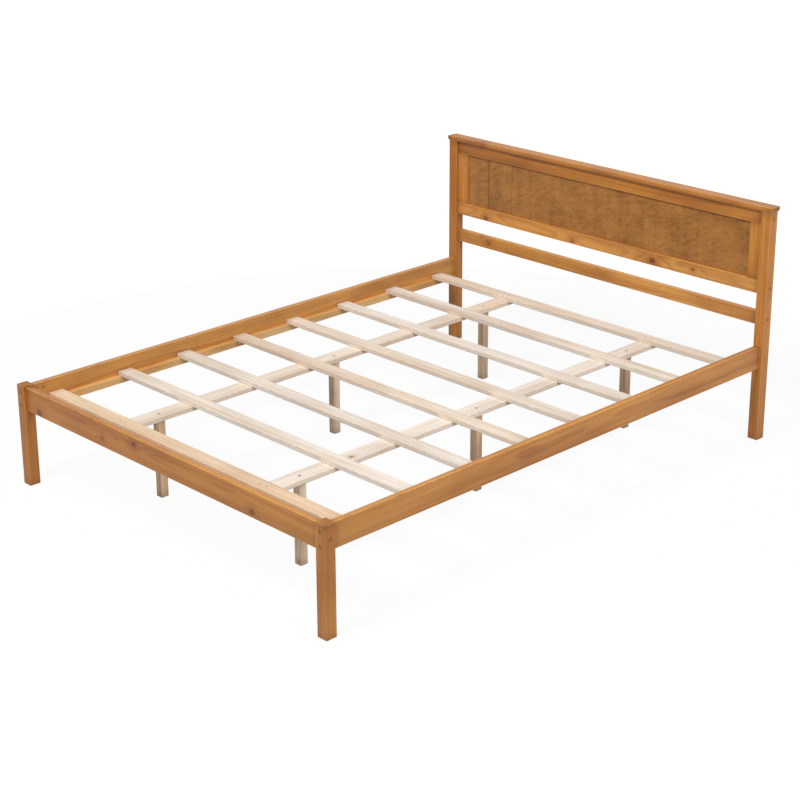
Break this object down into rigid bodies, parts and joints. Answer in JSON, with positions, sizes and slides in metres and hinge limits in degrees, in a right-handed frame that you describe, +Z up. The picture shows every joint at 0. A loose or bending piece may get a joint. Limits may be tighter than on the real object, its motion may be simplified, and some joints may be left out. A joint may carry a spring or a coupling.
{
  "type": "platform bed",
  "caption": "Low wooden platform bed with slats across side rails, support rails on legs, square corner posts and a headboard with a framed panel and a cap.",
  "frame": {"origin": "on the floor, at the middle of the box round the whole bed", "axes": "+Z up, +Y along the bed towards the headboard, +X to the right as seen from the foot"},
  "size_m": [1.448, 1.985, 0.806],
  "materials": {
    "stained_pine": "satin",
    "bare_pine": "matte",
    "veneered_panel": "satin",
    "dowel_wood": "matte",
    "bolt_steel": "satin",
    "zinc_steel": "satin",
    "screw_steel": "satin"
  },
  "bodies": {
    "root": {"foot_rail": "stained_pine", "foot_post_left": "stained_pine", "foot_post_right": "stained_pine", "head_post_left": "stained_pine", "head_post_right": "stained_pine", "side_rail_left": "stained_pine", "side_rail_right": "stained_pine", "headboard_cap": "stained_pine", "headboard_top_rail": "stained_pine", "headboard_bottom_rail": "stained_pine", "headboard_cross_rail": "stained_pine", "headboard_stile_left": "stained_pine", "headboard_stile_right": "stained_pine", "ledger_left": "stained_pine", "ledger_right": "stained_pine", "slat_1": "bare_pine", "slat_2": "bare_pine", "slat_3": "bare_pine", "slat_4": "bare_pine", "slat_5": "bare_pine", "slat_6": "bare_pine", "slat_7": "bare_pine", "slat_8": "bare_pine", "support_rail_left": "bare_pine", "support_rail_right": "bare_pine", "support_leg_left_1": "bare_pine", "support_leg_left_2": "bare_pine", "support_leg_left_3": "bare_pine", "support_leg_right_1": "bare_pine", "support_leg_right_2": "bare_pine", "support_leg_right_3": "bare_pine", "headboard_panel": "veneered_panel", "side_rail_bolts": "bolt_steel", "foot_rail_bolts": "bolt_steel", "headboard_bolts": "bolt_steel", "leg_bolts": "bolt_steel", "side_rail_barrel_nuts": "zinc_steel", "foot_rail_barrel_nuts": "zinc_steel", "headboard_barrel_nuts": "zinc_steel", "foot_rail_dowels": "dowel_wood", "headboard_dowels": "dowel_wood", "cap_dowels": "dowel_wood", "slat_screws": "screw_steel", "ledger_screws": "screw_steel"}
  },
  "joints": []
}
